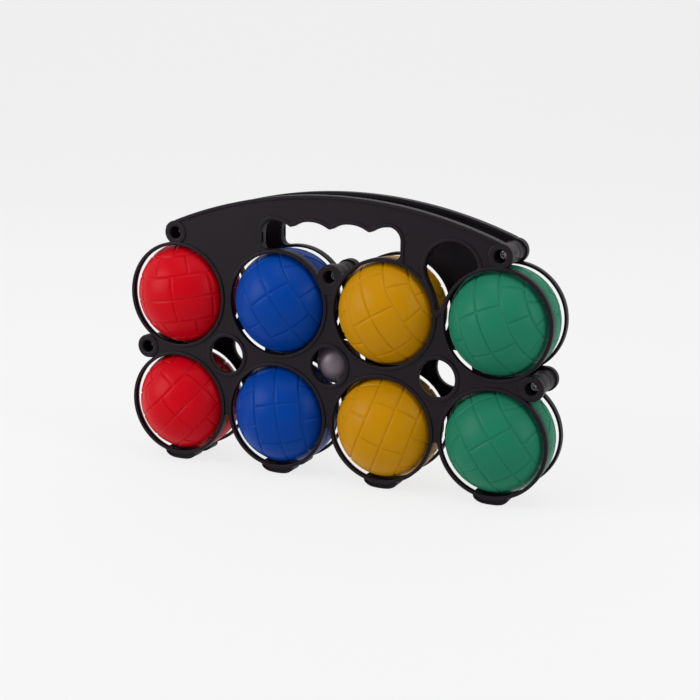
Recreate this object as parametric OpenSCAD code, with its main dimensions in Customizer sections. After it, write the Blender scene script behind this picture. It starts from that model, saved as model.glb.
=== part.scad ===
// Bocce ball set: two moulded plates with ring seats hold eight balls and a jack.
// X runs along the rows of balls, -Y is the front, Z is up, and the feet stand on Z = 0.

/* [Balls] */
// Diameter of a ball
ball_d = 72; // [70:0.5:73]
// Wall thickness of a ball's shell
shell_t = 2.4; // [1.6:0.1:4]
// Diameter of the jack
jack_d = 30; // [29:0.5:31]
// Depth of the grooves moulded round a ball
groove_depth = 0.7; // [0.4:0.1:1]
// Width of a groove
groove_w = 1.6; // [1:0.1:2.4]
// Diameter of the filler plug
plug_d = 8; // [6:0.5:10]

/* [Rings] */
// Distance between the centres of neighbouring rings
pitch = 77; // [76.5:0.5:80]
// Inner diameter of a ring seat
ring_id = 69.2; // [68.6:0.2:69.6]
// Width of a ring's wall, seen from the front
ring_wall = 2.4; // [2.2:0.1:2.6]
// Depth of a ring's wall, from front to back
ring_depth = 5.2; // [4:0.2:5.2]

/* [Plates] */
// Depth over both plates
frame_depth = 37; // [37:0.5:40]
// Thickness of the flat web of a plate
web_t = 2.6; // [2:0.2:3.4]
// How far the web lies behind the front of the rings
web_recess = 0.9; // [0.5:0.1:1.2]
// Diameter of the three small holes between the rows
small_hole_d = 25; // [24:0.5:27]
// Width of the rim round a small hole
small_rim_w = 2.8; // [1.6:0.1:3]

/* [Handle] */
// Height of the handle's top above the middle of the rings
handle_top = 113.3; // [108:0.5:118]
// Radius of the handle's arched top edge
arch_r = 312; // [300:2:330]
// Depth of the stiffening wall along the arch and round the finger opening
flange_depth = 7; // [5:0.5:9]
// Thickness of the stiffening wall
flange_t = 2.4; // [1.8:0.2:3]
// Width of the finger opening
grip_w = 99.8; // [96:0.2:104]
// Height of the finger hollows' crowns above the middle of the rings
grip_top = 95.4; // [92:0.2:97]
// Distance between the finger hollows
finger_pitch = 28.2; // [26:0.2:29]
// Depth of a finger hollow
finger_depth = 4.6; // [3:0.2:6]

/* [Posts and feet] */
// Diameter of a screw post
post_d = 14; // [12:0.5:14]
// Diameter of the boss on the face of a plate
boss_d = 16.4; // [15:0.2:17]
// Diameter of the deep recess in a front boss
recess_d = 8.4; // [8:0.2:9]
// Depth of the recess to the screw's head
recess_depth = 12; // [8:1:14]
// Height of a foot below the ring above it
foot_h = 4.2; // [3.5:0.1:6]
// Width of a foot
foot_w = 24; // [20:0.5:28]

/* [Hidden] */
COLOURS = ["red", "blue", "ochre", "green"];
ROWS = ["upper", "lower"];

// Which way each ball's filler plug points, row by row
POLES = [
  [[0.15, 0.05, -1], [-0.8, -0.2, -0.55], [-0.85, 0, -0.5], [-0.9, 0.1, -0.4]],
  [[0.7, 0.25, -0.7], [-0.95, -0.25, -0.15], [-0.9, -0.25, 0.35], [-0.8, -0.2, -0.55]]
];
PAINT = ["#c8192a", "#0b4a9e", "#bd8414", "#27805f"];
charcoal = "#242226";
groove_step = 26;                       // degrees of latitude between two grooves
ball_r = ball_d / 2;
ring_r = ring_id / 2;
ring_or = ring_r + ring_wall;
half_depth = frame_depth / 2;
row_z = pitch / 2;
mid_z = row_z + ring_or + foot_h;       // height of the middle of the rings above the ground
seat_x = [for (i = [0:3]) (i - 1.5) * pitch];
seat_z = [row_z, -row_z];
arch_z = handle_top - arch_r;           // centre of the arch, from the middle of the rings
web_front = -half_depth + web_recess;
small_r = small_hole_d / 2;
rim_r = small_r + small_rim_w;
small_x = [-pitch, 0, pitch];
crotch_r = 2;                           // fillet where two neighbouring rings part
crotch_z = sqrt(pow(ring_or + crotch_r, 2) - pow(pitch / 2, 2));
top_post_z = 82 - 38.5 + row_z;
mid_post_x = 1.5 * pitch + 24.5;
post_at = [[-1.5 * pitch - 1, top_post_z], [0, row_z + 21.5], [1.5 * pitch + 1, top_post_z],
           [-mid_post_x, 0], [mid_post_x, 0]];
joint_y = 1.5;                          // where a front post meets its rear post
screw_shank_r = 1.7;
screw_head_r = 3.6;
screw_head_t = 2.4;
screw_len = 19;
screw_seat_y = -half_depth + recess_depth;
shoulder_open_x = 84.7;                 // centre of the rounded opening in a plate's shoulder
shoulder_open_z = 71.2;
shoulder_open_r = 18.1;
taper_depth = 2.7;                      // a ring widens towards the ball over this depth
taper_wall = 1.6;                       // what is left of its wall at the back
foot_round_r = 18;                      // curve of a foot's underside
foot_flat = 0.9;                        // how much of that curve is cut off flat
foot_recess = 2;                        // how far a foot lies behind the front of the rings
foot_depth = 11.5;
cut = 60;                               // oversize for cutting shapes
fine = 96;

// Maps a 2D outline (X, Z) onto a slab from y_front to y_rear.
module slab(y_front, y_rear) {
  translate([0, y_rear, mid_z])
    rotate([90, 0, 0])
      linear_extrude(height = y_rear - y_front)
        children();
}

// A cylinder along Y at a place given from the middle of the rings.
module rod(x, z, r, y_front, y_rear) {
  translate([x, y_rear, mid_z + z])
    rotate([90, 0, 0])
      cylinder(h = y_rear - y_front, r = r, $fn = fine);
}

module disc(x, z, r) {
  translate([x, z])
    circle(r = r, $fn = fine);
}

module ring_discs(r) {
  for (x = seat_x, z = seat_z)
    disc(x, z, r);
}

// ---- outlines ----

// The finger hollows along the underside of the handle.
module finger_hollows(grow) {
  chord = finger_pitch / 2;
  r = (chord * chord + finger_depth * finger_depth) / (2 * finger_depth);
  for (i = [0:3])
    intersection() {
      disc((i - 1.5) * finger_pitch, grip_top - r, r + grow);
      translate([(i - 2) * finger_pitch - grow, grip_top - 2 * finger_depth])
        square([finger_pitch + 2 * grow, 3 * finger_depth]);
    }
}

// The finger opening, down to the rings and the middle post.
module grip_opening(grow = 0) {
  corner = 9;
  half_w = grip_w / 2;
  low = grip_top - finger_depth;
  difference() {
    intersection() {
      union() {
        finger_hollows(grow);
        translate([-half_w - grow, row_z + 12])
          square([grip_w + 2 * grow, low - row_z - 12]);
      }
      union() {
        translate([-half_w - grow, row_z])
          square([grip_w + 2 * grow, grip_top - corner - row_z]);
        translate([-half_w + corner, row_z])
          square([grip_w - 2 * corner, grip_top + grow - row_z]);
        disc(-half_w + corner, grip_top - corner, corner + grow);
        disc(half_w - corner, grip_top - corner, corner + grow);
      }
    }
    if (grow == 0)
      grip_floor();
  }
}

// What closes the finger opening from below: two rings, the middle post and the web under it.
module grip_floor() {
  disc(-pitch / 2, row_z, ring_or);
  disc(pitch / 2, row_z, ring_or);
  disc(post_at[1][0], post_at[1][1], boss_d / 2);
  translate([-pitch / 4, row_z])
    square([pitch / 2, post_at[1][1] - row_z]);
}

// The opening in the shoulder of a plate, between the two rings and the arch.
module shoulder_opening(grow = 0) {
  difference() {
    union() {
      disc(shoulder_open_x, shoulder_open_z, shoulder_open_r + grow);
      polygon([[pitch, row_z], [pitch + 3, row_z + 9],
               [shoulder_open_x + shoulder_open_r + grow, shoulder_open_z],
               [shoulder_open_x - shoulder_open_r - grow, shoulder_open_z], [pitch - 3, row_z + 9]]);
    }
    if (grow == 0) {
      disc(pitch / 2, row_z, ring_or);
      disc(1.5 * pitch, row_z, ring_or);
      translate([pitch - 4, row_z - 4])
        square([8, crotch_z + 4 - crotch_r * 0.6]);
    }
  }
}

// The flat web: everything between the rings, the shoulders and the handle.
module web_outline() {
  difference() {
    union() {
      // between the two rows
      translate([-1.5 * pitch, -row_z])
        square([3 * pitch, pitch]);
      // under the lower row, down to the crotches between the rings
      for (x = small_x)
        difference() {
          translate([x - 6, -row_z - crotch_z])
            square([12, crotch_z + 1]);
          disc(x, -row_z - crotch_z, crotch_r);
        }
      // shoulders and handle
      intersection() {
        disc(0, arch_z, arch_r);
        translate([post_at[0][0], row_z])
          square([post_at[2][0] - post_at[0][0], handle_top]);
      }
      // ears that reach out to the middle posts
      for (side = [-1, 1])
        translate([side * (mid_post_x + 1.5 * pitch) / 2, 0])
          square([mid_post_x - 1.5 * pitch, boss_d], center = true);
      for (post = post_at)
        disc(post[0], post[1], boss_d / 2);
    }
    ring_discs(ring_or);
    for (x = small_x)
      disc(x, 0, rim_r);
    grip_opening();
    shoulder_opening();
  }
}

// The wall that stiffens the arch, the ends of the grip and the shoulder opening.
module flange_outline() {
  intersection() {
    web_outline();
    union() {
      difference() {
        disc(0, arch_z, arch_r);
        disc(0, arch_z, arch_r - flange_t);
      }
      grip_opening(flange_t);
      shoulder_opening(flange_t);
    }
  }
}

// ---- one plate, with its front at -Y ----

module plate_body() {
  difference() {
    union() {
      slab(web_front, web_front + web_t)
        web_outline();
      slab(-half_depth, -half_depth + flange_depth)
        flange_outline();
      for (x = [-pitch, pitch])
        small_rim(x);
      for (post = post_at)
        difference() {
          rod(post[0], post[1], boss_d / 2, -half_depth, -half_depth + ring_depth);
          for (x = seat_x, z = seat_z)
            rod(x, z, ring_or, -half_depth - 1, -half_depth + ring_depth + 1);
        }
    }
    for (x = [-pitch, pitch])
      rod(x, 0, small_r, -cut, 0);
    for (post = post_at)
      rod(post[0], post[1], post_d / 2, -half_depth + ring_depth, 0);
  }
}

// The raised rim round a small hole.
module small_rim(x) {
  difference() {
    rod(x, 0, rim_r, -half_depth, web_front + web_t);
    rod(x, 0, small_r, -cut, 0);
  }
}

module front_plate() {
  color(charcoal)
    difference() {
      plate_body();
      for (post = post_at)
        rod(post[0], post[1], recess_d / 2, -cut, 0);
    }
}

// The rear plate is the same moulding turned round, with closed bosses.
module rear_plate() {
  color(charcoal)
    rotate([0, 0, 180])
      plate_body();
}

// ---- posts, jack rims and ring seats, moulded on the plates ----

// A front post goes on from its boss: a recess down to the screw's head, then a clearance hole.
module front_posts() {
  color(charcoal)
    for (post = post_at)
      difference() {
        rod(post[0], post[1], post_d / 2, -half_depth + ring_depth, joint_y);
        rod(post[0], post[1], recess_d / 2, -cut, screw_seat_y);
        rod(post[0], post[1], screw_shank_r + 0.25, -cut, cut);
      }
}

// A rear post has a pilot hole that the screw bites into.
module rear_posts() {
  color(charcoal)
    for (post = post_at)
      difference() {
        rod(post[0], post[1], post_d / 2, joint_y, half_depth - ring_depth);
        rod(post[0], post[1], screw_shank_r, 0, screw_seat_y + screw_len);
      }
}

module front_jack_rim() {
  color(charcoal)
    small_rim(0);
}

module rear_jack_rim() {
  color(charcoal)
    rotate([0, 0, 180])
      small_rim(0);
}

// A foot: a lug under a lower ring, with a short flat to stand on and ends that curve up.
module foot(x) {
  difference() {
    intersection() {
      translate([x - foot_w / 2, -half_depth + foot_recess, 0])
        cube([foot_w, foot_depth, foot_h + 6]);
      translate([x, 0, foot_round_r - foot_flat])
        rotate([90, 0, 0])
          cylinder(h = cut, r = foot_round_r, $fn = fine);
    }
    rod(x, -row_z, ring_or - 0.3, -cut, cut);
  }
}

module ring_seat(x, z) {
  color(charcoal)
    difference() {
      union() {
        rod(x, z, ring_or, -half_depth, -half_depth + ring_depth);
        if (z < 0)
          foot(x);
      }
      rod(x, z, ring_r, -cut, -half_depth + ring_depth + 0.01);
      translate([x, -half_depth + ring_depth, mid_z + z])
        rotate([90, 0, 0])
          cylinder(h = taper_depth, r1 = ring_or - taper_wall, r2 = ring_r, $fn = fine);
    }
}

module front_ring(row, i) {
  ring_seat(seat_x[i], seat_z[row]);
}

module rear_ring(row, i) {
  rotate([0, 0, 180])
    ring_seat(-seat_x[i], seat_z[row]);
}

// ---- fasteners ----

module screw(x, z) {
  rod(x, z, screw_head_r, screw_seat_y - screw_head_t, screw_seat_y);
  rod(x, z, screw_shank_r, screw_seat_y, screw_seat_y + screw_len);
}

module post_screws() {
  color("silver")
    for (post = post_at)
      screw(post[0], post[1]);
}

// ---- balls ----

// Half of a ball's outline, with a groove round the equator and at every step either side of it.
function ball_profile(r, depth, half_w) =
  let (half_a = half_w / r * 180 / PI)
  [
    [0, -r],
    for (k = [-4:3], a = [0, half_a, 6, 11, 16, 21, groove_step - half_a])
      let (lat = k * groove_step + a)
        if (lat > -90 && lat < 90)
          (a == 0 ? r - depth : r) * [cos(lat), sin(lat)],
    [0, r]
  ];

// Puts a ball in its seat, with its filler plug towards its pole.
module place_ball(row, i) {
  pole = POLES[row][i] / norm(POLES[row][i]);
  translate([seat_x[i], 0, mid_z + seat_z[row]])
    rotate(a = acos(pole[2]), v = [-pole[1], pole[0], 0])
      children();
}

module ball_shell(row, i) {
  color(PAINT[i])
    place_ball(row, i)
      difference() {
        rotate_extrude($fn = fine)
          polygon(ball_profile(ball_r, groove_depth, groove_w / 2));
        sphere(r = ball_r - shell_t, $fn = fine);
        cylinder(h = ball_d, r = plug_d / 2, $fn = fine);
      }
}

module ball_fill(row, i) {
  color("lightblue")
    place_ball(row, i)
      sphere(r = ball_r - shell_t, $fn = fine);
}

module ball_plug(row, i) {
  color(PAINT[i])
    place_ball(row, i)
      intersection() {
        cylinder(h = ball_d, r = plug_d / 2, $fn = fine);
        difference() {
          sphere(r = ball_r - 0.3, $fn = fine);
          sphere(r = ball_r - shell_t, $fn = fine);
        }
      }
}

module jack() {
  color("gainsboro")
    translate([0, 0, mid_z])
      sphere(r = jack_d / 2, $fn = fine);
}

// ---- nodes ----

front_plate();
rear_plate();
front_posts();
rear_posts();
front_jack_rim();
rear_jack_rim();
post_screws();
jack();

for (row = [0, 1], i = [0:3]) {
  place = str(ROWS[row], "_", COLOURS[i]);
  ball = str(COLOURS[i], "_", ROWS[row], "_ball_");
  front_ring(row, i);
  rear_ring(row, i);
  ball_shell(row, i);
  ball_fill(row, i);
  ball_plug(row, i);
}
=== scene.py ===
"""Looks of the bocce ball set.

Sizes are in millimetres. Places (x, z) are from the middle of the rings unless said otherwise.
"""

import math

import bpy
import numpy as np
from mathutils import Matrix, Vector, geometry


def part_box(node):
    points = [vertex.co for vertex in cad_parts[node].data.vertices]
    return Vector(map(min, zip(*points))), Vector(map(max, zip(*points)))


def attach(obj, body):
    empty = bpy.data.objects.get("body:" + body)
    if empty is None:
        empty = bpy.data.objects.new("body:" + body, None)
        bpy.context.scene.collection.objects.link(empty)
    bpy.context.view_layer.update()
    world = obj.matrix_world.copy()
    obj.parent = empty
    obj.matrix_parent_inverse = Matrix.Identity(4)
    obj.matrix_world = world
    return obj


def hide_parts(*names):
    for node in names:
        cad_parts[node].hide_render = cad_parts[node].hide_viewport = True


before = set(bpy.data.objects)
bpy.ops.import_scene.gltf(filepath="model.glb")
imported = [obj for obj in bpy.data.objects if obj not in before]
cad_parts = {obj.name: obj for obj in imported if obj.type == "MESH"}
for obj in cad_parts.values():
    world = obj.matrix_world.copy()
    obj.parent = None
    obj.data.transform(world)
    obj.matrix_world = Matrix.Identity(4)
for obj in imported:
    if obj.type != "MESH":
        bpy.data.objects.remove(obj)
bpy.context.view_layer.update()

COLOURS = ("red", "blue", "ochre", "green")
ROWS = ("upper", "lower")

# ---- sizes read from the CAD frame ----


def span(node):
    """Lowest and highest corner of a CAD node, in mm."""
    low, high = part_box(node)
    return np.array(low) * 1000, np.array(high) * 1000


def centre(node):
    low, high = span(node)
    return (low + high) / 2


upper_low, upper_high = span("front_ring_upper_red")
ring_or = (upper_high[0] - upper_low[0]) / 2
ring_front = upper_low[1]
ring_back = upper_high[1]
pitch = centre("front_ring_upper_blue")[0] - centre("front_ring_upper_red")[0]
row_z = pitch / 2
mid_z = centre("front_ring_upper_red")[2] - row_z
seat_x = [(i - 1.5) * pitch for i in range(4)]
small_x = [-pitch, 0.0, pitch]
rim_low, rim_high = span("front_jack_rim")
rim_r = (rim_high[0] - rim_low[0]) / 2
handle_top = span("front_plate")[1][2] - mid_z
post_reach = span("front_posts")[1][0]
joint_y = span("front_posts")[1][1]
ball_r = (span("red_upper_ball_shell")[1] - span("red_upper_ball_shell")[0])[1] / 2
jack_r = (span("jack")[1] - span("jack")[0])[1] / 2

# ---- sizes that the CAD frame doesn't give ----

ring_wall = 2.4
ring_taper = 2.7
ring_back_wall = 1.6
web_recess = 0.9
web_t = 2.6
flange_depth = 7.0
flange_t = 2.4
small_hole_r = rim_r - 2.8
arch_r = 312.0
grip_w = 99.8
grip_top = 95.4
finger_pitch = 28.2
finger_depth = 4.6
boss_r = 8.2
post_r = 7.0
recess_r = 4.2
recess_depth = 12.0
clearance_r = 1.95
pilot_r = 1.72
crotch_r = 2.0
shoulder_open = (84.7, 71.2, 18.1)
foot_w = 24.0
foot_h = 4.2
foot_round_r = 18.0
foot_flat = 0.9
foot_recess = 2.0
foot_depth = 11.5
arch_z = handle_top - arch_r
web_front = ring_front + web_recess
mid_post_x = post_reach - post_r
corner_post = (1.5 * pitch + 1, 82.0)
middle_post = (0.0, row_z + 21.5)
posts = [(-corner_post[0], corner_post[1]), middle_post, corner_post, (-mid_post_x, 0.0), (mid_post_x, 0.0)]
crotch_z = math.sqrt((ring_or + crotch_r) ** 2 - row_z ** 2)

# ---- meshes ----


class Shape:
    """Collects vertices (mm, in the shared frame) and faces of one piece."""

    def __init__(self):
        self.points, self.faces = [], []

    def add(self, points, faces):
        start = len(self.points)
        self.points.extend([tuple(p) for p in points])
        self.faces.extend([tuple(start + i for i in f) for f in faces])

    def face_outwards(self, first):
        """Turns the faces added since `first` round if they enclose a negative volume."""
        p = np.array(self.points)
        fans = np.array([(f[0], b, c) for f in self.faces[first:] for b, c in zip(f[1:-1], f[2:])])
        if float(np.sum(p[fans[:, 0]] * np.cross(p[fans[:, 1]], p[fans[:, 2]]))) < 0:
            self.faces[first:] = [f[::-1] for f in self.faces[first:]]

    def turned(self):
        """Half a turn about Z, as for the rear plate."""
        other = Shape()
        other.points = [(-x, -y, z) for x, y, z in self.points]
        other.faces = list(self.faces)
        return other

    def build(self, name, material, body, slot, replaces, sharp=38):
        mesh = bpy.data.meshes.new(name)
        mesh.from_pydata([(x / 1000, y / 1000, z / 1000) for x, y, z in self.points], [], self.faces)
        mesh.validate()
        mesh.update()
        mesh.materials.append(material)
        mesh.polygons.foreach_set("use_smooth", [True] * len(mesh.polygons))
        mesh.set_sharp_from_angle(angle=math.radians(sharp))
        piece = bpy.data.objects.new(name, mesh)
        bpy.context.scene.collection.objects.link(piece)
        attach(piece, body)
        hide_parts(*replaces)


def rounded(corners, radius, steps=4):
    """A closed outline with its corners rounded. Each corner may carry its own radius as a third value."""
    out = []
    count = len(corners)
    for i in range(count):
        here = np.array(corners[i][:2], float)
        r = corners[i][2] if len(corners[i]) > 2 else radius
        a = np.array(corners[i - 1][:2], float) - here
        b = np.array(corners[(i + 1) % count][:2], float) - here
        if r <= 0:
            out.append(tuple(here))
            continue
        ua, ub = a / np.linalg.norm(a), b / np.linalg.norm(b)
        half = math.acos(max(-1, min(1, float(ua @ ub)))) / 2
        back = r / math.tan(half)
        middle = here + (ua + ub) / np.linalg.norm(ua + ub) * r / math.sin(half)
        p, q = here + ua * back - middle, here + ub * back - middle
        angle = math.acos(max(-1, min(1, float(p @ q) / r / r)))
        for s in range(steps + 1):
            t = s / steps
            spoke = (math.sin((1 - t) * angle) * p + math.sin(t * angle) * q) / math.sin(angle)
            out.append(tuple(middle + spoke))
    return out


def lathe(shape, x, z, profile, closed=True, segments=96):
    """Turns a profile of (radius, y) about the axis along Y through (x, z)."""
    points, faces = [], []
    first = len(shape.faces)
    rows = len(profile)
    for r, y in profile:
        for s in range(segments):
            a = 2 * math.pi * s / segments
            points.append((x + r * math.cos(a), y, mid_z + z + r * math.sin(a)))
    for k in range(rows if closed else rows - 1):
        n = (k + 1) % rows
        for s in range(segments):
            t = (s + 1) % segments
            faces.append((k * segments + s, k * segments + t, n * segments + t, n * segments + s))
    if not closed:
        faces.append(tuple(range(segments - 1, -1, -1)))
        faces.append(tuple((rows - 1) * segments + s for s in range(segments)))
    shape.add(points, faces)
    shape.face_outwards(first)


# ---- outlines as signed distances ----


def disc(cx, cz, r):
    return lambda x, z: np.hypot(x - cx, z - cz) - r


def rect(x0, x1, z0, z1, r=0.0):
    def distance(x, z):
        dx = np.abs(x - (x0 + x1) / 2) - (x1 - x0) / 2 + r
        dz = np.abs(z - (z0 + z1) / 2) - (z1 - z0) / 2 + r
        return np.hypot(np.maximum(dx, 0), np.maximum(dz, 0)) + np.minimum(np.maximum(dx, dz), 0) - r
    return distance


def join(*parts, k=0.0):
    def distance(x, z):
        d = parts[0](x, z)
        for part in parts[1:]:
            e = part(x, z)
            h = np.maximum(k - np.abs(d - e), 0) / k if k else 0
            d = np.minimum(d, e) - h * h * k / 4
        return d
    return distance


def inside_out(part):
    return lambda x, z: -part(x, z)


def grown(part, by):
    return lambda x, z: part(x, z) - by


def common(*parts, k=0.0):
    return inside_out(join(*[inside_out(p) for p in parts], k=k))


def common_rounded(a, b, r):
    """Where both are solid, with the corner between them rounded to radius r."""
    def distance(x, z):
        da, db = a(x, z) + r, b(x, z) + r
        return np.minimum(np.maximum(da, db), 0) + np.hypot(np.maximum(da, 0), np.maximum(db, 0)) - r
    return distance


def polygon(*corners):
    """The inside of a polygon whose corners run anticlockwise and which bulges everywhere."""
    def distance(x, z):
        d = -1e9
        for (ax, az), (bx, bz) in zip(corners, corners[1:] + corners[:1]):
            length = math.hypot(bx - ax, bz - az)
            d = np.maximum(d, ((x - ax) * (bz - az) - (z - az) * (bx - ax)) / length)
        return d
    return distance


def less(part, *cuts, k=0.0):
    return common(part, *[inside_out(c) for c in cuts], k=k)


def gradient(part, points):
    e = 0.02
    x, z = points[:, 0], points[:, 1]
    g = np.stack([part(x + e, z) - part(x - e, z), part(x, z + e) - part(x, z - e)], 1)
    return g / np.maximum(np.linalg.norm(g, axis=1, keepdims=True), 1e-9)


def loops(part, x0, x1, z0, z1, cell=0.5, step=0.8):
    """The closed outlines of a shape, solid on the left, with points about one step apart."""
    xs = np.arange(x0, x1 + cell, cell) + 0.0137
    zs = np.arange(z0, z1 + cell, cell) + 0.0071
    gx, gz = np.meshgrid(xs, zs, indexing="ij")
    d = part(gx, gz)
    inside = d < 0
    following, place = {}, {}

    def cross(i, j, horizontal):
        key = (i, j, horizontal)
        if key not in place:
            m, n = (i + 1, j) if horizontal else (i, j + 1)
            t = d[i, j] / (d[i, j] - d[m, n])
            place[key] = (xs[i] + t * (xs[m] - xs[i]), zs[j] + t * (zs[n] - zs[j]))
        return key

    busy = (inside[:-1, :-1].astype(int) + inside[1:, :-1] + inside[:-1, 1:] + inside[1:, 1:])
    for i, j in np.argwhere((busy > 0) & (busy < 4)):
        i, j = int(i), int(j)
        corners = [(i, j), (i + 1, j), (i + 1, j + 1), (i, j + 1)]
        sides = [(i, j, True), (i + 1, j, False), (i, j + 1, True), (i, j, False)]
        leaving, entering = [], []
        for k in range(4):
            a, b = inside[corners[k]], inside[corners[(k + 1) % 4]]
            if a and not b:
                leaving.append(k)
            if b and not a:
                entering.append(k)
        for k in leaving:
            # the outline enters the cell where the boundary walk leaves the solid
            m = min(entering, key=lambda e: (k - e) % 4)
            entering.remove(m)
            following[cross(*sides[k])] = cross(*sides[m])
    out = []
    while following:
        first = next(iter(following))
        chain, key = [], first
        while key in following:
            chain.append(place[key])
            key = following.pop(key)
        chain = np.array(chain)
        closed = np.vstack([chain, chain[:1]])
        length = np.concatenate([[0], np.cumsum(np.linalg.norm(np.diff(closed, axis=0), axis=1))])
        if length[-1] < 4:
            continue
        count = max(12, int(round(length[-1] / step)))
        at = np.linspace(0, length[-1], count, endpoint=False)
        ring = np.stack([np.interp(at, length, closed[:, 0]), np.interp(at, length, closed[:, 1])], 1)
        for _ in range(3):
            ring -= gradient(part, ring) * np.clip(part(ring[:, 0], ring[:, 1]), -0.3, 0.3)[:, None]
        out.append(ring)
    return out


def normals(ring):
    """Unit vectors that point out of the solid, from the outline's own direction."""
    along = np.roll(ring, -1, 0) - np.roll(ring, 1, 0)
    along /= np.maximum(np.linalg.norm(along, axis=1, keepdims=True), 1e-9)
    return np.stack([along[:, 1], -along[:, 0]], 1)


def slab(shape, part, bounds, front, back, edge=0.5, back_edge=0.3, step=0.8):
    """A plate with this outline and rounded edges, from y = front to y = back."""
    rings = loops(part, *bounds, step=step)
    first = len(shape.faces)
    rows = [(edge + 0.25, front)]
    rows += [(edge * (1 - math.sin(a)), front + edge * (1 - math.cos(a)))
             for a in np.linspace(0, math.pi / 2, 5)]
    rows += [(back_edge * (1 - math.cos(a)), back - back_edge * (1 - math.sin(a)))
             for a in np.linspace(0, math.pi / 2, 4)]
    rows += [(back_edge + 0.25, back)]
    caps = {0: [], len(rows) - 1: []}
    index = {0: [], len(rows) - 1: []}
    for ring in rings:
        out = normals(ring)
        count = len(ring)
        start = len(shape.points)
        points, faces = [], []
        for k, (inset, y) in enumerate(rows):
            moved = ring - out * inset
            points += [(p[0], y, mid_z + p[1]) for p in moved]
            if k in caps:
                caps[k].append([Vector((p[0], p[1], 0)) for p in moved])
                index[k] += [start + k * count + s for s in range(count)]
        for k in range(len(rows) - 1):
            for s in range(count):
                t = (s + 1) % count
                faces.append((k * count + s, (k + 1) * count + s, (k + 1) * count + t, k * count + t))
        shape.add(points, faces)
    for k in caps:
        flat = [tuple(p) for line in caps[k] for p in line]
        for a, b, c in geometry.tessellate_polygon(caps[k]):
            (ax, az, _), (bx, bz, _), (cx, cz, _) = flat[a], flat[b], flat[c]
            turn = (bx - ax) * (cz - az) - (cx - ax) * (bz - az)
            if abs(turn) < 1e-9:
                continue
            # front caps look towards -Y: (x, z) turned anticlockwise has its normal along -Y
            order = (a, b, c) if (turn > 0) == (k == 0) else (a, c, b)
            shape.faces.append(tuple(index[k][i] for i in order))
    shape.face_outwards(first)


# ---- outlines of the plate ----

rings_outer = [disc(x, z, ring_or) for x in seat_x for z in (row_z, -row_z)]


def hollows():
    chord = finger_pitch / 2
    r = (chord * chord + finger_depth * finger_depth) / (2 * finger_depth)
    fingers = [common(disc((i - 1.5) * finger_pitch, grip_top - r, r),
                      rect((i - 2) * finger_pitch - 0.5, (i - 1) * finger_pitch + 0.5,
                           grip_top - 2 * finger_depth, grip_top + finger_depth)) for i in range(4)]
    return join(*fingers, k=1.6)


def grip_hole():
    low = grip_top - finger_depth
    hole = join(hollows(), rect(-grip_w / 2, grip_w / 2, row_z + 12, low - 0.2), k=1.2)
    return common(hole, rect(-grip_w / 2, grip_w / 2, row_z, grip_top + 0.2, 9.0))


def grip_floor():
    return join(disc(-row_z, row_z, ring_or), disc(row_z, row_z, ring_or), disc(*middle_post, boss_r),
                rect(-pitch / 4, pitch / 4, row_z, middle_post[1]), k=2.6)


def shoulder_hole():
    x, z, r = shoulder_open
    wedge = polygon((pitch, row_z), (pitch + 3, row_z + 9), (x + r, z), (x - r, z),
                    (pitch - 3, row_z + 9))
    return join(disc(x, z, r), wedge, k=2.0)


def shoulder_floor():
    return join(disc(row_z, row_z, ring_or), disc(1.5 * pitch, row_z, ring_or),
                rect(pitch - 4, pitch + 4, row_z - 4, row_z + crotch_z - crotch_r * 0.6), k=2.4)


def web_solid():
    lower = [less(rect(x - 6, x + 6, -row_z - crotch_z, -row_z + 1), disc(x, -row_z - crotch_z, crotch_r))
             for x in small_x]
    top = common(disc(0, arch_z, arch_r), rect(posts[0][0], posts[2][0], row_z, handle_top + 2))
    outer_x = 1.5 * pitch
    ears = [rect(min(s * mid_post_x, s * outer_x), max(s * mid_post_x, s * outer_x), -boss_r, boss_r)
            for s in (-1, 1)]
    caps = [disc(x, z, boss_r) for x, z in posts]
    return join(rect(-1.5 * pitch, 1.5 * pitch, -row_z, row_z), *lower, top, *ears, *caps)


grip_cut = common_rounded(grip_hole(), inside_out(grip_floor()), 5.0)
shoulder_cut = less(shoulder_hole(), shoulder_floor(), k=2.2)
solid = less(web_solid(), grip_cut, shoulder_cut)
under_rings = [grown(r, -1.2) for r in rings_outer]
web = less(solid, *under_rings, *[disc(x, 0, rim_r - 1.2) for x in small_x])
under_arch = inside_out(disc(0, arch_z, arch_r - flange_t))
round_openings = join(under_arch, grown(grip_hole(), flange_t), grown(shoulder_hole(), flange_t), k=2.0)
flange = less(common(solid, round_openings), *[grown(r, -0.8) for r in rings_outer])


def foot_outline(x):
    lug = common(rect(x - foot_w / 2, x + foot_w / 2, -mid_z, -mid_z + foot_h + 6),
                 disc(x, foot_round_r - foot_flat - mid_z, foot_round_r), k=1.6)
    return less(lug, disc(x, -row_z, ring_or - 0.9))


def foot_lip(x):
    """The raised edge round the front of a foot."""
    return less(foot_outline(x), grown(foot_outline(x), -1.3), k=0.3)


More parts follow.
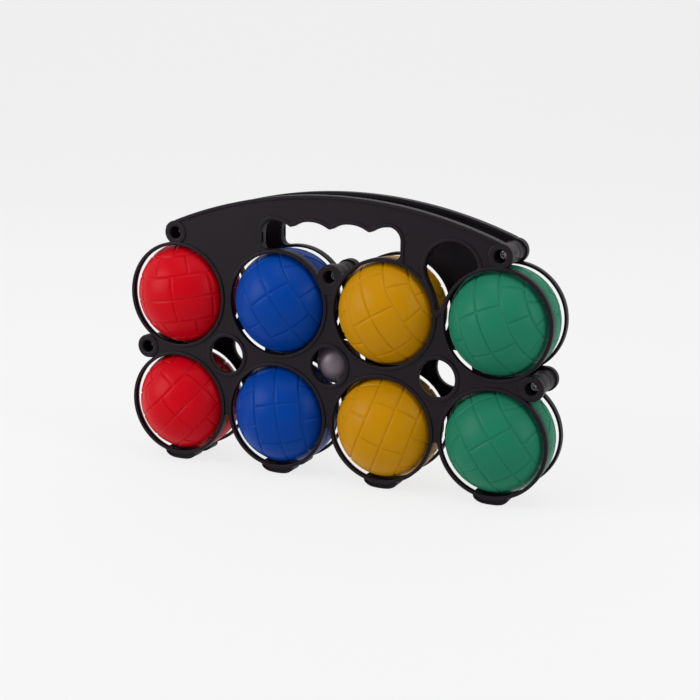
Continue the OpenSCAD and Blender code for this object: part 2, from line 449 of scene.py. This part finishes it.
def plate(front):
    """One moulding, in the front plate's place. The front one has open screw recesses, the rear one
    closed bosses."""
    shape = Shape()
    reach = post_reach + 4
    recesses = [disc(x, z, recess_r + 0.9) for x, z in posts] if front else []
    slab(shape, less(web, *recesses), (-reach, reach, -mid_z, handle_top + 4),
         web_front, web_front + web_t, edge=0.4)
    slab(shape, less(flange, *recesses), (-reach, reach, row_z - 4, handle_top + 4), ring_front + 0.06,
         ring_front + flange_depth, edge=0.45, step=0.6)
    ring_in = ring_or - ring_wall
    seat = rounded([(ring_in, ring_front, 0.5), (ring_in, ring_back - ring_taper, 0.5),
                    (ring_or - ring_back_wall, ring_back, 0.15), (ring_or, ring_back, 0.3),
                    (ring_or, ring_front, 0.5)], 0.4)
    for x in seat_x:
        for z in (row_z, -row_z):
            lathe(shape, x, z, seat, segments=144)
        area = (x - foot_w / 2 - 2, x + foot_w / 2 + 2, -mid_z - 1, -mid_z + foot_h + 8)
        foot_front = ring_front + foot_recess
        slab(shape, foot_outline(x), area, foot_front + 0.9, foot_front + foot_depth,
             edge=0.5, back_edge=0.6, step=0.5)
        slab(shape, foot_lip(x), area, foot_front, foot_front + 2, edge=0.35, step=0.4)
    for x in small_x:
        lathe(shape, x, 0, rounded([(small_hole_r, ring_front + 0.04, 0.6),
                                    (small_hole_r, web_front + web_t, 0.3),
                                    (rim_r, web_front + web_t, 0.1), (rim_r, ring_front + 0.04, 0.6)], 0.5))
    boss_front = ring_front + 0.1
    for x, z in posts:
        if front:
            lathe(shape, x, z, front_post_profile(boss_front), segments=72)
        else:
            lathe(shape, x, z, rear_post_profile(boss_front), closed=False, segments=72)
    return shape


def post_side(boss_front, end):
    """The outside of a half post: from its end, past a thin groove, to the boss on the plate's face."""
    return [(post_r - 0.1, end, 0.4), (post_r, ring_back + 4.2, 0.2), (post_r - 0.35, ring_back + 3.6, 0.15),
            (post_r, ring_back + 3.0, 0.2), (post_r + 0.1, ring_back, 0.1), (boss_r, ring_back, 0.4),
            (boss_r, boss_front, 0.8)]


def front_post_profile(boss_front):
    seat = ring_front + recess_depth
    end = joint_y - 0.1
    return rounded([(recess_r, boss_front, 0.6), (recess_r, seat, 0.3), (clearance_r, seat, 0.1),
                    (clearance_r, end, 0.1)] + post_side(boss_front, end), 0.3)


def rear_post_profile(boss_front):
    end = -joint_y - 0.1
    return rounded([(pilot_r, -joint_y - 8, 0), (pilot_r, end, 0.1)] + post_side(boss_front, end)
                   + [(0.6, boss_front, 0)], 0.3)


# ---- balls ----

groove_step = 26.0  # degrees between the grooves that run round the plug axis
last_groove = 3  # they run from -3 to 3 steps off the equator
groove_depth = 0.6
groove_half = 1.15
cross_count = 8  # cross grooves round one band between two of them
shifted_bands = (-2, 1)  # the bands in which these lie half a gap further round
plug_r = 4.0


def groove_dip(lat, lon):
    """How deep the surface lies below the ball's radius, at angles in degrees."""
    mm = ball_r * math.pi / 180
    k = np.clip(np.round(lat / groove_step), -last_groove, last_groove)
    along = np.abs(lat - k * groove_step) * mm
    band = np.floor(lat / groove_step)
    gap = 360.0 / cross_count
    shift = np.where(np.isin(band, shifted_bands), 0.5, 0.0)
    near = np.abs(np.mod(lon / gap - shift + 0.5, 1) - 0.5) * gap
    across = np.where((band >= -last_groove) & (band < last_groove), near * mm * np.cos(np.radians(lat)), 99)
    t = np.clip(1 - np.minimum(along, across) / groove_half, 0, 1)
    return groove_depth * t * t * (3 - 2 * t)


def near_each(places, offsets):
    """The angles that lie at these offsets on both sides of each place."""
    return {round(float(place + s * a), 4) for place in places for a in offsets for s in (-1, 1)}


def ball_shape(at, pole, spin):
    """A grooved ball with a round recess for its plug at the pole."""
    near = np.array([0, 0.55, 1.1, 1.7, 3.0, 5.6])
    parallels = [k * groove_step for k in range(-last_groove, last_groove + 1)]
    lats = sorted(near_each(parallels, list(near) + [8.0, 10.5, 13.0]))
    rim = math.degrees(plug_r / ball_r)
    lats = [a for a in lats if -80.5 < a < 80.5]
    lats = [-89.0, -86, -82.5] + lats + [81.6, 90 - rim - 0.8, 90 - rim - 0.25, 90 - rim]
    gap = 180.0 / cross_count
    meridians = [k * gap for k in range(2 * cross_count)]
    lons = np.array(sorted({a % 360 for a in near_each(meridians, list(near)[:-1] + [4.8, 7.2, 9.6])}))
    grid_lat, grid_lon = np.meshgrid(np.array(lats), lons, indexing="ij")
    r = ball_r - groove_dip(grid_lat, grid_lon)
    r[-1] -= 0.3
    axis = Vector(pole).normalized()
    side = axis.cross(Vector((0, 0, 1))).normalized()
    side.rotate(Matrix.Rotation(math.radians(spin), 3, axis))
    other = axis.cross(side)
    frame_axes = np.array([side, other, axis])
    c = np.cos(np.radians(grid_lat))
    local = np.stack([c * np.cos(np.radians(grid_lon)), c * np.sin(np.radians(grid_lon)),
                      np.sin(np.radians(grid_lat))], -1) * r[..., None]
    rows, columns = grid_lat.shape
    points = (local.reshape(-1, 3) @ frame_axes + np.array(at)).tolist()
    faces = []
    for i in range(rows - 1):
        for j in range(columns):
            k = (j + 1) % columns
            faces.append((i * columns + j, i * columns + k, (i + 1) * columns + k, (i + 1) * columns + j))
    south = len(points)
    points.append(tuple(np.array(at) - np.array(axis) * ball_r))
    faces += [(south, (j + 1) % columns, j) for j in range(columns)]
    # the recess: a wall and a floor below the plug
    last = (rows - 1) * columns
    wall = []
    for j in range(columns):
        p = np.array(local[-1, j])
        p[2] -= 1.6
        wall.append(tuple(p @ frame_axes + np.array(at)))
    start = len(points)
    points += wall
    for j in range(columns):
        k = (j + 1) % columns
        faces.append((last + j, last + k, start + k, start + j))
    faces.append(tuple(start + j for j in range(columns)))
    shape = Shape()
    shape.add(points, faces)
    return shape, frame_axes


def plug_shape(at, axes):
    """The filler plug: a low dome with a rounded edge and a pull slot."""
    shape = Shape()
    top = ball_r - 0.35
    low = ball_r - 1.7
    profile = [(1.1, top - 0.45), (1.45, top - 0.38), (1.7, top - 0.12), (2.1, top - 0.02),
               (2.8, top - 0.06), (3.3, top - 0.16), (3.55, top - 0.35), (3.62, top - 0.6), (3.62, low)]
    segments = 48
    points, faces = [], []
    for r, z in profile:
        for s in range(segments):
            a = 2 * math.pi * s / segments
            points.append(tuple(np.array([r * math.cos(a), r * math.sin(a), z]) @ axes + np.array(at)))
    for k in range(len(profile) - 1):
        for s in range(segments):
            t = (s + 1) % segments
            faces.append((k * segments + t, k * segments + s, (k + 1) * segments + s, (k + 1) * segments + t))
    faces.append(tuple(range(segments)))
    faces.append(tuple((len(profile) - 1) * segments + s for s in range(segments - 1, -1, -1)))
    shape.add(points, faces)
    return shape


def jack_shape(at):
    """A smooth ball with a faint mould seam and a gate mark."""
    shape = Shape()
    lats = [-90 + 180 * i / 60 for i in range(1, 60)]
    lats = sorted(set([a for a in lats if abs(a) > 2.5] + [-1.6, -0.9, -0.45, 0.0, 0.45, 0.9, 1.6]))
    columns = 96
    points, faces = [], []
    tilt = Matrix.Rotation(math.radians(24), 3, "X") @ Matrix.Rotation(math.radians(17), 3, "Y")
    for lat in lats:
        r = jack_r - 0.06 + 0.06 * max(0, 1 - abs(lat) / 0.9)
        across, up = r * math.cos(math.radians(lat)), r * math.sin(math.radians(lat))
        for s in range(columns):
            a = 2 * math.pi * s / columns
            p = tilt @ Vector((across * math.cos(a), across * math.sin(a), up))
            points.append((p.x + at[0], p.y + at[1], p.z + at[2]))
    for i in range(len(lats) - 1):
        for s in range(columns):
            t = (s + 1) % columns
            faces.append((i * columns + s, i * columns + t, (i + 1) * columns + t, (i + 1) * columns + s))
    faces.append(tuple(range(columns - 1, -1, -1)))
    faces.append(tuple((len(lats) - 1) * columns + s for s in range(columns)))
    shape.add(points, faces)
    return shape


def screw_shape(shape, x, z, seat, tip):
    """A pan head with a cross recess, and a threaded shank with a point."""
    head_r, head_t, shank_r, thread = 3.6, 2.4, 1.68, 1.5
    arm, half_w = 2.1, 0.55
    cross = join(rect(x - half_w, x + half_w, z - arm, z + arm, 0.2),
                 rect(x - arm, x + arm, z - half_w, z + half_w, 0.2), k=0.3)
    slab(shape, less(disc(x, z, head_r), cross), (x - 5, x + 5, z - 5, z + 5), seat - head_t, seat - 0.8,
         edge=0.7, back_edge=0.05, step=0.25)
    lathe(shape, x, z, [(0.3, seat - 0.82), (head_r - 0.02, seat - 0.82), (head_r - 0.02, seat - 0.02),
                        (0.3, seat - 0.02)], segments=48)
    segments, per_turn = 24, 6
    rows = int((tip - seat) / thread * per_turn)
    points, faces = [], []
    for k in range(rows + 1):
        y = seat - 0.1 + k * thread / per_turn
        taper = min(1.0, max(0.15, (tip - y) / 3.5))
        for s in range(segments):
            phase = (k / per_turn - s / segments) % 1
            r = (shank_r - 0.5 * min(1, 2.6 * min(phase, 1 - phase))) * taper
            a = 2 * math.pi * s / segments
            points.append((x + r * math.cos(a), min(y, tip), mid_z + z + r * math.sin(a)))
    for k in range(rows):
        for s in range(segments):
            t = (s + 1) % segments
            faces.append((k * segments + s, k * segments + t, (k + 1) * segments + t, (k + 1) * segments + s))
    faces.append(tuple(range(segments - 1, -1, -1)))
    faces.append(tuple(rows * segments + s for s in range(segments)))
    shape.add(points, faces)


# ---- materials ----


def plastic(name, colour, roughness, grain=0.06, grain_size=900.0, vary=0.12, specular=0.5):
    material = bpy.data.materials.new(name)
    material.use_nodes = True
    tree = material.node_tree
    shader = tree.nodes["Principled BSDF"]
    shader.inputs["Specular IOR Level"].default_value = specular
    place = tree.nodes.new("ShaderNodeTexCoord")
    cloud = tree.nodes.new("ShaderNodeTexNoise")
    cloud.inputs["Scale"].default_value = 28.0
    cloud.inputs["Detail"].default_value = 3.0
    tree.links.new(place.outputs["Object"], cloud.inputs["Vector"])
    tint = tree.nodes.new("ShaderNodeMix")
    tint.data_type = "RGBA"
    tint.inputs[6].default_value = (*[c * (1 - vary) for c in colour], 1)
    tint.inputs[7].default_value = (*[min(1, c * (1 + vary)) for c in colour], 1)
    tree.links.new(cloud.outputs["Fac"], tint.inputs[0])
    tree.links.new(tint.outputs[2], shader.inputs["Base Color"])
    rough = tree.nodes.new("ShaderNodeMapRange")
    rough.inputs["To Min"].default_value = roughness - 0.05
    rough.inputs["To Max"].default_value = roughness + 0.06
    tree.links.new(cloud.outputs["Fac"], rough.inputs["Value"])
    tree.links.new(rough.outputs["Result"], shader.inputs["Roughness"])
    fine = tree.nodes.new("ShaderNodeTexNoise")
    fine.inputs["Scale"].default_value = grain_size
    fine.inputs["Detail"].default_value = 2.0
    tree.links.new(place.outputs["Object"], fine.inputs["Vector"])
    bump = tree.nodes.new("ShaderNodeBump")
    bump.inputs["Strength"].default_value = grain
    bump.inputs["Distance"].default_value = 0.0004
    tree.links.new(fine.outputs["Fac"], bump.inputs["Height"])
    tree.links.new(bump.outputs["Normal"], shader.inputs["Normal"])
    return material


carrier_plastic = plastic("carrier_plastic", (0.0070, 0.0040, 0.0072), 0.44, grain=0.12, specular=0.14)
BALL_COLOURS = {
    "red": (0.45, 0.001, 0.007),
    "blue": (0.0003, 0.037, 0.238),
    "ochre": (0.41, 0.186, 0.001),
    "green": (0.012, 0.147, 0.083),
}
ball_plastic = {c: plastic(c + "_ball_plastic", BALL_COLOURS[c], 0.34, grain=0.03, vary=0.06, specular=0.06)
                for c in COLOURS}
jack_plastic = plastic("jack_plastic", (0.12, 0.095, 0.115), 0.4, grain=0.04, vary=0.03)
screw_steel = plastic("screw_steel", (0.42, 0.42, 0.43), 0.3, grain=0.05, vary=0.1)
screw_steel.node_tree.nodes["Principled BSDF"].inputs["Metallic"].default_value = 1.0
ball_water = plastic("ball_water", (0.5, 0.62, 0.7), 0.12, grain=0.0, vary=0.02)

# ---- pieces ----


def plate_nodes(side):
    """The CAD nodes that one moulding takes the place of."""
    rings = [f"{side}_ring_{row}_{colour}" for row in ROWS for colour in COLOURS]
    return [f"{side}_plate", f"{side}_posts", f"{side}_jack_rim"] + rings


plate(True).build("front_moulding", carrier_plastic, "carrier", "carrier_plastic", plate_nodes("front"))
plate(False).turned().build("rear_moulding", carrier_plastic, "carrier", "carrier_plastic",
                            plate_nodes("rear"))

# Turn of each ball's cross grooves about its plug, in degrees
SPIN = {"upper": (8, 19, 2, 18), "lower": (10, 20, 32, 14)}
for row in ROWS:
    for colour, spin in zip(COLOURS, SPIN[row]):
        name = f"{colour}_{row}_ball"
        at = centre(name + "_shell")
        shape, axes = ball_shape(at, centre(name + "_plug") - at, spin)
        paint, slot = ball_plastic[colour], colour + "_ball_plastic"
        shape.build(name, paint, name, slot, [name + "_shell"])
        plug_shape(at, axes).build(name + "_stopper", paint, name, slot, [name + "_plug"])
        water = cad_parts[name + "_fill"]
        water.data.materials.clear()
        water.data.materials.append(ball_water)

jack_shape(centre("jack")).build("small_jack", jack_plastic, "jack", "jack_plastic", ["jack"])

screws = Shape()
seat_y = ring_front + recess_depth
for x, z in posts:
    screw_shape(screws, x, z, seat_y, span("post_screws")[1][1])
screws.build("cross_head_screws", screw_steel, "carrier", "screw_steel", ["post_screws"], sharp=30)

# ---- floor, light and camera, in metres ----


def pale_paint():
    paint = bpy.data.materials.new("sweep_paint")
    paint.use_nodes = True
    shader = paint.node_tree.nodes["Principled BSDF"]
    shader.inputs["Base Color"].default_value = (0.10, 0.10, 0.10, 1)
    shader.inputs["Roughness"].default_value = 0.9
    shader.inputs["Specular IOR Level"].default_value = 0.1
    shader.inputs["Emission Color"].default_value = (1, 1, 1, 1)
    shader.inputs["Emission Strength"].default_value = 0.785
    return paint


def sweep(paint):
    """A pale floor that curves up into a backdrop."""
    points, faces = [], []
    floor_end, bend_r, half_w, sunk = 1.6, 1.2, 6.0, 0.00005
    profile = [(-4.0, 0.0), (floor_end, 0.0)]
    profile += [(floor_end + bend_r * math.sin(a), bend_r - bend_r * math.cos(a))
                for a in np.linspace(0.08, math.pi / 2, 16)]
    profile += [(2.8, 5.0)]
    for y, z in profile:
        points += [(-half_w, y, z - sunk), (half_w, y, z - sunk)]
    for k in range(len(profile) - 1):
        faces.append((2 * k, 2 * k + 1, 2 * k + 3, 2 * k + 2))
    mesh = bpy.data.meshes.new("sweep")
    mesh.from_pydata(points, [], faces)
    mesh.polygons.foreach_set("use_smooth", [True] * len(mesh.polygons))
    mesh.materials.append(paint)
    floor = bpy.data.objects.new("sweep", mesh)
    floor.rotation_euler = (0, 0, math.radians(24))
    bpy.context.scene.collection.objects.link(floor)


def far_wall(paint):
    """A round wall behind everything, which only camera rays see. It gives the object no light."""
    segments, radius, height = 96, 3.4, 6.0
    turns = [2 * math.pi * s / segments for s in range(segments)]
    points = [(radius * math.cos(a), radius * math.sin(a), z) for z in (-0.0001, height) for a in turns]
    faces = [(s, (s + 1) % segments, segments + (s + 1) % segments, segments + s) for s in range(segments)]
    mesh = bpy.data.meshes.new("far_wall")
    mesh.from_pydata(points, [], faces)
    mesh.materials.append(paint)
    wall = bpy.data.objects.new("far_wall", mesh)
    wall.visible_diffuse = wall.visible_glossy = wall.visible_transmission = wall.visible_shadow = False
    bpy.context.scene.collection.objects.link(wall)


def softbox(name, place, width, height, power):
    data = bpy.data.lights.new(name, "AREA")
    data.shape = "RECTANGLE"
    data.size, data.size_y = width, height
    data.energy = power
    lamp = bpy.data.objects.new(name, data)
    lamp.location = place
    lamp.rotation_euler = (Vector(LIGHT_AIM) - Vector(place)).to_track_quat("-Z", "Y").to_euler()
    bpy.context.scene.collection.objects.link(lamp)


def camera():
    az, el, roll = math.radians(23.91), math.radians(12.09), math.radians(0.8645)
    distance, lens = 0.9029, 70.54
    target = Vector((0.0161, -0.0185, mid_z / 1000 + 0.0129))
    back = Vector((math.sin(az) * math.cos(el), -math.cos(az) * math.cos(el), math.sin(el)))
    right = Vector((math.cos(az), math.sin(az), 0))
    up = right.cross(-back)
    turned_right = math.cos(roll) * right + math.sin(roll) * up
    turned_up = -math.sin(roll) * right + math.cos(roll) * up
    data = bpy.data.cameras.new("camera")
    data.lens, data.sensor_width = lens, 36.0
    data.clip_start, data.clip_end = 0.01, 50
    eye = bpy.data.objects.new("camera", data)
    turn = Matrix((turned_right, turned_up, back)).transposed()
    eye.matrix_world = Matrix.Translation(target + back * distance) @ turn.to_4x4()
    bpy.context.scene.collection.objects.link(eye)
    bpy.context.scene.camera = eye


paint = pale_paint()
sweep(paint)
far_wall(paint)
LIGHT_AIM = (0, 0, 0.08)
softbox("left_box", (-1.3, -1.1, 0.75), 1.1, 1.1, 24)
softbox("right_box", (1.5, -0.35, 0.7), 0.6, 1.0, 11)
softbox("top_box", (0.1, -0.2, 1.7), 1.6, 1.6, 14)
world = bpy.data.worlds.new("studio")
bpy.context.scene.world = world
world.use_nodes = True
world.node_tree.nodes["Background"].inputs["Color"].default_value = (0.95, 0.96, 1.0, 1)
world.node_tree.nodes["Background"].inputs["Strength"].default_value = 0.42
bpy.context.scene.view_settings.view_transform = "Standard"
camera()
